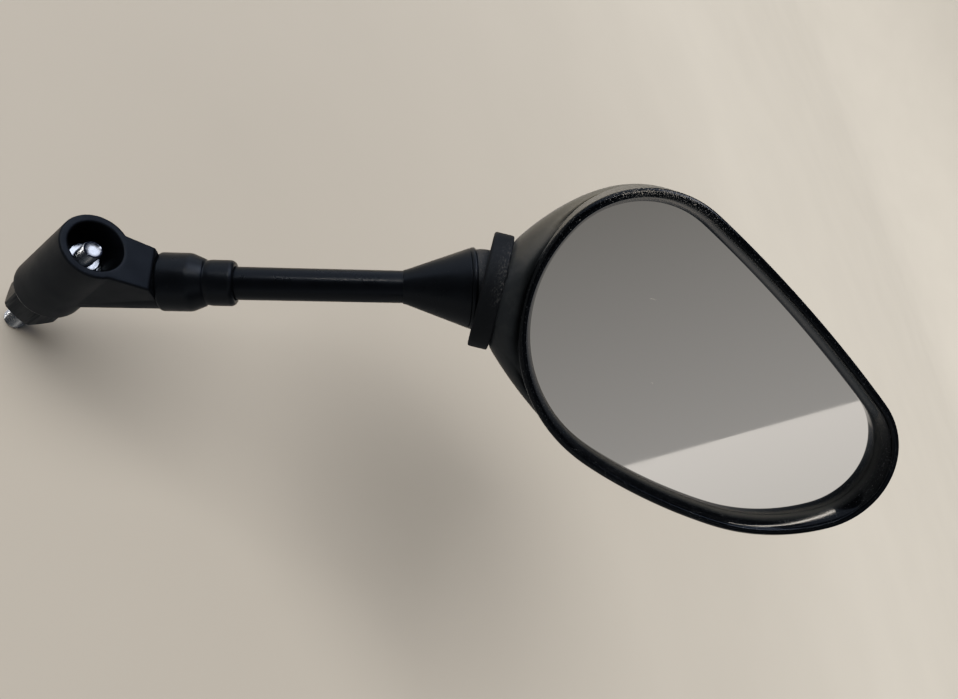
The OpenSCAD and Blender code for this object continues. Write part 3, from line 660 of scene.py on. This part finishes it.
# %% Cut the threads
def threaded_end(radius, pitch, low, high, chamfer, steps=72):
    bm = bmesh.new()
    depth = 0.6 * pitch
    line = []
    for k in range(int((high - low) / pitch) + 4):
        z = low + (k - 2) * pitch
        line += [(radius - depth, z), (radius - depth, z + 0.18 * pitch),
                 (radius, z + 0.53 * pitch), (radius, z + 0.65 * pitch)]
    verts = [bm.verts.new((r, 0, z)) for r, z in line]
    edges = [bm.edges.new(pair) for pair in zip(verts, verts[1:])]
    bmesh.ops.spin(bm, geom=verts + edges, cent=(0, 0, 0), axis=(0, 0, 1), dvec=(0, 0, pitch / steps),
                   angle=2 * pi, steps=steps, use_merge=False, use_duplicate=False)
    bmesh.ops.remove_doubles(bm, verts=bm.verts, dist=1e-3)
    for height, way in ((high, 1), (low, -1)):
        bmesh.ops.bisect_plane(bm, geom=bm.verts[:] + bm.edges[:] + bm.faces[:], dist=1e-4,
                               plane_co=(0, 0, height), plane_no=(0, 0, way), clear_outer=True)
    rim = [e for e in bm.edges if e.is_boundary and min(v.co.z for v in e.verts) > high - 0.01]
    for share, height in ((0.93, high - 0.04), (0.7, high - 0.1), (0.5, high - 0.3), (0.25, high - 0.26)):
        grown = bmesh.ops.extrude_edge_only(bm, edges=rim)["geom"]
        for v in (g for g in grown if isinstance(g, bmesh.types.BMVert)):
            reach = share * radius / (v.co.x ** 2 + v.co.y ** 2) ** 0.5
            v.co = (v.co.x * reach, v.co.y * reach, height)
        rim = [g for g in grown if isinstance(g, bmesh.types.BMEdge) and g.is_boundary]
    bmesh.ops.holes_fill(bm, edges=[e for e in bm.edges if e.is_boundary], sides=0)
    for v in bm.verts:
        at_end = max(0.0, chamfer - (high - v.co.z), chamfer - (v.co.z - low) if low < 0 else 0.0)
        reach = (v.co.x ** 2 + v.co.y ** 2) ** 0.5
        if reach > radius - at_end:
            v.co.x *= (radius - at_end) / reach
            v.co.y *= (radius - at_end) / reach
    bmesh.ops.recalc_face_normals(bm, faces=bm.faces)
    return bm


SHANK_R, SHANK_TOP = 6.0, 48.0
stud = threaded_end(radius=4.0, pitch=1.0, low=44.0, high=68.0, chamfer=0.35)
lower_end = threaded_end(radius=5.0, pitch=1.25, low=-25.0, high=0.5, chamfer=1.0)
lower_mesh = bpy.data.meshes.new("lower_thread_only")
lower_end.to_mesh(lower_mesh)
lower_end.free()
stud.from_mesh(lower_mesh)
bpy.data.meshes.remove(lower_mesh)
shank = bmesh.ops.create_cone(stud, cap_ends=True, segments=64,
                              radius1=SHANK_R, radius2=SHANK_R, depth=SHANK_TOP)
bmesh.ops.translate(stud, vec=(0, 0, SHANK_TOP / 2), verts=shank["verts"])
bmesh.ops.transform(stud, matrix=ON_STUD, verts=stud.verts)
finish_piece("threaded_stud", stud, "zinc", "mount", ["pivot_stud"], 28)

# %% [markdown]
# ## The stem
# The stem is a tube, open under the upper boot. Its profile is drawn once and
# spun with many steps, so that the highlight along it stays straight.

# %% Spin the stem
stem_profile = rounded([
    (7.7, 53.0, 0.6), (7.7, 181.5, 0.4), (5.2, 181.5, 0.3), (5.2, 55.5, 0.5), (5.0, 55.5, 0.1),
    (5.0, 55.0, 0.1), (0.0, 55.0, 0.0), (0.0, 24.0, 0.0),
    (4.4, 24.0, 0.0), (5.0, 24.8, 0.0), (5.0, 53.0, 0.0),
])
finish_piece("stem_tube", spun(stem_profile, ON_STEM, 96), "stem_black", "arm", ["stem"], 40)

# %% [markdown]
# ## The lower boot
# This sleeve covers the lock nut. Moulded rubber has a generous radius on every
# corner, and where the wide end slopes down to the narrow one the real sleeve
# pinches into a shallow groove before its lip. The profile carries all of that.

# %% Spin the lower boot
BOOT_AT = 44.0
boot_profile = rounded([
    (11.3, 0.0, 0.4), (12.9, 0.0, 0.4), (13.4, 0.9, 0.6), (13.4, 13.5, 1.2), (10.9, 19.3, 1.2),
    (10.1, 19.9, 0.4), (10.35, 20.8, 0.5), (10.6, 22.2, 1.0), (10.6, 31.1, 1.0), (9.6, 32.6, 0.9),
    (7.8, 32.6, 0.3), (7.8, 20.1, 0.4), (11.3, 12.6, 0.6),
], 6)
finish_piece("lower_boot_sleeve", spun(boot_profile, ON_STEM @ move(0, 0, BOOT_AT), 128),
             "boot_rubber", "arm", ["lower_boot"], 60)

# %% [markdown]
# ## The upper boot
# A cone that closes on the back of the ball. A fine groove runs round it near
# its mouth and catches a thin line of light. The mouth follows the ball's curve
# with a tenth of a millimetre of room.

# %% Spin the upper boot
CONE_AT = 153.1
cone_profile = rounded([
    (7.75, 0.0, 0.2), (8.0, 0.2, 0.4), (8.5, 2.0, 1.2), (19.15, 31.1, 0.3), (18.85, 31.35, 0.1),
    (19.3, 31.65, 0.15), (19.65, 32.6, 0.4), (19.6, 33.5, 0.3), (19.2, 34.0, 0.3), (18.72, 34.0, 0.1),
    (18.35, 32.4, 0.1), (17.75, 30.3, 0.3), (10.2, 9.2, 0.6), (7.75, 9.2, 0.2),
], 6)
finish_piece("upper_boot_cone", spun(cone_profile, ON_STEM @ move(0, 0, CONE_AT), 144),
             "boot_rubber", "arm", ["upper_boot"], 50)

# %% [markdown]
# ## The ball
# Only a band of the ball shows between the cone and the ring, but the rest
# comes into view when the head swings. Its profile is an arc between the window
# for the clamp screw and the opening for the carrier.

# %% Spin the ball
BALL_R, CAVITY_R, WINDOW_R, BALL_BACK = 18.9, 15.3, 10.0, 10.0
BALL_FRONT = (BALL_R ** 2 - WINDOW_R ** 2) ** 0.5 - 0.4


def arc(radius, start, end, steps):
    """Points from one height to the other on a circle round the ball's centre."""
    heights = [start + (end - start) * k / steps for k in range(steps + 1)]
    return [((radius ** 2 - z ** 2) ** 0.5, z) for z in heights]


ball_profile = arc(BALL_R, -BALL_BACK, BALL_FRONT, 40) + [(WINDOW_R, BALL_FRONT)] + \
    arc(CAVITY_R, (CAVITY_R ** 2 - WINDOW_R ** 2) ** 0.5, -6.5, 20) + [(13.8, -6.5), (13.8, -BALL_BACK)]
finish_piece("swivel_ball_turned", spun(ball_profile, ON_STEM @ move(0, 0, BALL_DIST), 128),
             "ball_plastic", "arm", ["swivel_ball"], 50)

# %% [markdown]
# ## The neck ring
# A thick ring with rounded edges. The recess on the stem's side clears the
# cone's mouth, and the inside is the hollow sphere that the ball turns in.

# %% Spin the neck ring
ring_profile = rounded([
    (21.0, 0.0, 0.5), (28.1, 0.0, 1.4), (28.1, 9.7, 1.0), (18.0, 9.7, 0.0)], 6)
ring_profile = ring_profile[:-1] + arc(20.4, 9.7, 4.4, 10) + [(21.0, 4.4)]
finish_piece("neck_ring_moulded", spun(ring_profile, ON_NECK, 144), "ring_rubber", "head", ["neck_ring"], 60)

# %% [markdown]
# ## The shell and the bead
# Both are lofted in the CAD from a few dozen points round the head, which is
# coarse for a reflection. Their triangles are joined back to quads, and a
# subdivision surface smooths them. Creases hold the edges that the mould made
# sharp.

# %% Smooth the shell and the bead
for name, node, slot, crease in (("shell_moulding", "shell", "shell_plastic", 0.9),
                                 ("rim_bead_polished", "rim_bead", "bead_plastic", 0.35)):
    bm = merged_copy(node)
    bmesh.ops.join_triangles(bm, faces=bm.faces, cmp_seam=False, cmp_sharp=False, cmp_uvs=False,
                             cmp_vcols=False, cmp_materials=False,
                             angle_face_threshold=radians(40), angle_shape_threshold=radians(40))
    creases = bm.edges.layers.float.new("crease_edge")
    for edge in bm.edges:
        if edge.is_manifold and edge.calc_face_angle() > radians(50):
            edge[creases] = crease
    finish_piece(name, bm, slot, "head", [node], 60, [
        ("SUBSURF", {"levels": 2, "render_levels": 2}),
    ])

# %% [markdown]
# ## The studio
# A plain pale floor lies level under the stud's lower end. Far out a backdrop of
# the same paint curls up from it into a wall, so that no view meets a horizon.
# Both are lines that are spun. The paint is a little lighter far out, which
# reads as brighter light over there. Only the camera sees the backdrop. In the
# shiny pieces the cards of the next step take its place.

# %% Build the floor and the backdrop
FLOOR_Z = -0.025
FLAT_OUT, CURL, WALL_TOP = 4.0, 2.0, 4.5
quarter = [pi / 2 * k / 24 for k in range(25)]
stage_lines = {
    "floor": [(0.001, 0.0), (0.6, 0.0), (1.8, 0.0), (FLAT_OUT, 0.0)],
    "backdrop": [(FLAT_OUT + CURL * sin(a), CURL - CURL * cos(a)) for a in quarter]
                + [(FLAT_OUT + CURL, WALL_TOP)],
}
stage_pieces = []
for name, line in stage_lines.items():
    bm = bmesh.new()
    verts = [bm.verts.new((r, 0, FLOOR_Z + z)) for r, z in line]
    edges = [bm.edges.new(pair) for pair in zip(verts, verts[1:])]
    bmesh.ops.spin(bm, geom=verts + edges, cent=(0, 0, 0), axis=(0, 0, 1), angle=2 * pi, steps=96,
                   use_merge=True, use_duplicate=False)
    bmesh.ops.recalc_face_normals(bm, faces=bm.faces)
    mesh = bpy.data.meshes.new(name)
    bm.to_mesh(mesh)
    bm.free()
    mesh.polygons.foreach_set("use_smooth", [True] * len(mesh.polygons))
    piece = bpy.data.objects.new(name, mesh)
    bpy.context.scene.collection.objects.link(piece)
    stage_pieces.append(piece)
backdrop = stage_pieces[-1]
backdrop.visible_glossy = False
backdrop.visible_diffuse = False
backdrop.visible_shadow = False

paint, places = new_finish("pale_matt_paint")
mottle = add_node(paint, "TexNoise", {"Scale": 1.0 / 0.25, "Detail": 5.0}, {"Vector": places})
distance = add_node(paint, "VectorMath", {"operation": "LENGTH"}, {0: places})
far_out = add_node(paint, "MapRange", {"From Min": 0.2, "From Max": 1.5}, {
    "Value": distance.outputs["Value"]})
floor_tone = add_node(paint, "MixRGB", {"Color1": colour("#c5c1bb"), "Color2": colour("#e3e0da")}, {
    "Fac": far_out.outputs[0]})
shade = add_node(paint, "MixRGB", {"blend_type": "MULTIPLY", "Fac": 0.08}, {
    "Color1": floor_tone.outputs[0], "Color2": mottle.outputs["Fac"]})
shader = add_node(paint, "BsdfPrincipled", {"Roughness": 0.7, "IOR": 1.4}, {"Base Color": shade.outputs[0]})
add_node(paint, "OutputMaterial", links={"Surface": shader.outputs[0]})
for piece in stage_pieces:
    piece.data.materials.append(paint)
    print(piece.name, "faces:", len(piece.data.polygons))

# %% [markdown]
# ## What the glass sees
# A mirror shows the room, not itself. In the photograph it shows a grey ceiling
# and, along its lower edge, a brighter strip. Two plain glowing cards stand
# where those reflections come from, 1.5 m in front of the glass. A third card,
# long and narrow, is the ceiling tube that draws the thin white lines on the
# bead. A fourth is a wide bluish window, which greys the knuckle's top. A fifth
# is a pale far wall, which greys the stem's upper side and the shell's top. All
# are seen by reflections alone: the camera looks through them and they light
# nothing. Each card's tone drifts from its near edge to its far one.

# %% Hang the cards
CARD_GAP = 1515.0    # from the glass to the first two cards, in millimetres
BOUNDARY = -211.0    # where those two meet
TUBE_GAP, WINDOW_GAP, WALL_GAP = 1.6, 1.8, 2.2    # from the ball, in metres
card_frame = IN_HEAD @ move(650.0, -290.0, CARD_GAP) @ turn(31.6, "Z")
ball_at = ON_NECK.translation
tube_side = Vector((-0.50, -0.20, 0.84))
tube_turn = Matrix((CAMERA_RIGHT, CAMERA_UP, CAMERA_BACK)).transposed().to_4x4()
tube_frame = Matrix.Translation(ball_at + TUBE_GAP * tube_side) @ tube_turn @ Matrix.Scale(MM, 4)
window_side = Vector((-0.45, 0.36, 0.82))
window_turn = window_side.to_track_quat("Z", "Y").to_matrix().to_4x4()
window_frame = Matrix.Translation(ball_at + WINDOW_GAP * window_side) @ window_turn @ Matrix.Scale(MM, 4)
wall_side = 0.97 * CAMERA_UP + 0.24 * CAMERA_BACK
wall_turn = wall_side.to_track_quat("Z", "Y").to_matrix().to_4x4()
wall_frame = Matrix.Translation(ball_at + WALL_GAP * wall_side) @ wall_turn @ Matrix.Scale(MM, 4)
cards = [
    ("grey_card", card_frame @ move(0, BOUNDARY + 700, 0), 1600.0, 700.0, ("#949391", "#403f3c"), 1.0),
    ("bright_card", card_frame @ move(0, BOUNDARY - 500, 0), 1600.0, 500.0, ("#9e9f9b", "#d0cdc9"), 1.0),
    ("tube_card", tube_frame, 700.0, 28.0, ("#fffaf2", "#fffaf2"), 30.0),
    ("window_card", window_frame, 650.0, 450.0, ("#d4d9e6", "#d4d9e6"), 4.5),
    ("wall_card", wall_frame, 1700.0, 1100.0, ("#e0e2e8", "#e0e2e8"), 1.3),
]
for name, place, half_width, half_height, tones, strength in cards:
    card_bm = bmesh.new()
    card_bm.loops.layers.uv.new("UVMap")
    bmesh.ops.create_grid(card_bm, x_segments=1, y_segments=1, size=1.0, calc_uvs=True)
    bmesh.ops.scale(card_bm, vec=(half_width, half_height, 1.0), verts=card_bm.verts)
    bmesh.ops.transform(card_bm, matrix=place, verts=card_bm.verts)
    card_mesh = bpy.data.meshes.new(name)
    card_bm.to_mesh(card_mesh)
    card_bm.free()
    card = bpy.data.objects.new(name, card_mesh)
    bpy.context.scene.collection.objects.link(card)
    card.visible_camera = False
    card.visible_diffuse = False
    card.visible_shadow = False
    glow, places = new_finish(name + "_glow")
    across = add_node(glow, "SeparateXYZ", {}, {"Vector": add_node(glow, "UVMap").outputs["UV"]})
    tone = add_node(glow, "MixRGB", {"Color1": colour(tones[0]), "Color2": colour(tones[1])}, {
        "Fac": across.outputs["Y"]})
    light = add_node(glow, "Emission", {"Strength": strength}, {"Color": tone.outputs[0]})
    add_node(glow, "OutputMaterial", links={"Surface": light.outputs[0]})
    card_mesh.materials.append(glow)
    print(name, "centre:", tuple(round(c, 2) for c in place.translation))

# %% [markdown]
# ## Light
# The photograph was taken under wide ceiling lights: shadows are soft and fall
# away from the stem, and the ceiling itself is grey. A sun lamp with a very
# wide disc lights the whole floor evenly and still casts a soft shadow. Shiny
# pieces don't see that disc, because in the room its place is taken by tubes.
# The world is the dim grey ceiling. Colours are shown with the Standard view,
# so that a hex value comes out as itself, and a curve then deepens and cools
# the darkest tones, as a phone's camera does.

# %% Set the lamps
scene = bpy.context.scene
scene.view_settings.view_transform = "Standard"
scene.view_settings.look = "None"
scene.view_settings.use_curve_mapping = True
tone_curves = scene.view_settings.curve_mapping
SHADOWS = [
    ("all", 3, [(0.03, 0.014), (0.08, 0.06), (0.18, 0.175), (0.4, 0.4)]),
    ("red", 0, [(0.03, 0.027), (0.12, 0.12)]),
    ("blue", 2, [(0.03, 0.034), (0.12, 0.12)]),
]
for channel, index, points in SHADOWS:
    for bright_in, bright_out in points:
        tone_curves.curves[index].points.new(bright_in, bright_out)
    print("tone curve,", channel, points)
tone_curves.update()
world = bpy.data.worlds.new("grey_ceiling")
world.use_nodes = True
world.node_tree.nodes["Background"].inputs["Color"].default_value = colour("#62605e")
world.node_tree.nodes["Background"].inputs["Strength"].default_value = 1.0
scene.world = world

sun_data = bpy.data.lights.new("ceiling_light", "SUN")
sun_data.energy = 2.8
sun_data.angle = radians(50)
sun_data.color = colour("#fffaf2")[:3]
sun = bpy.data.objects.new("ceiling_light", sun_data)
sun.rotation_euler = Vector((-0.35, -0.18, 0.92)).to_track_quat("Z", "Y").to_euler()
sun.visible_glossy = False
scene.collection.objects.link(sun)
print("ceiling light:", sun_data.energy, "W per square metre")
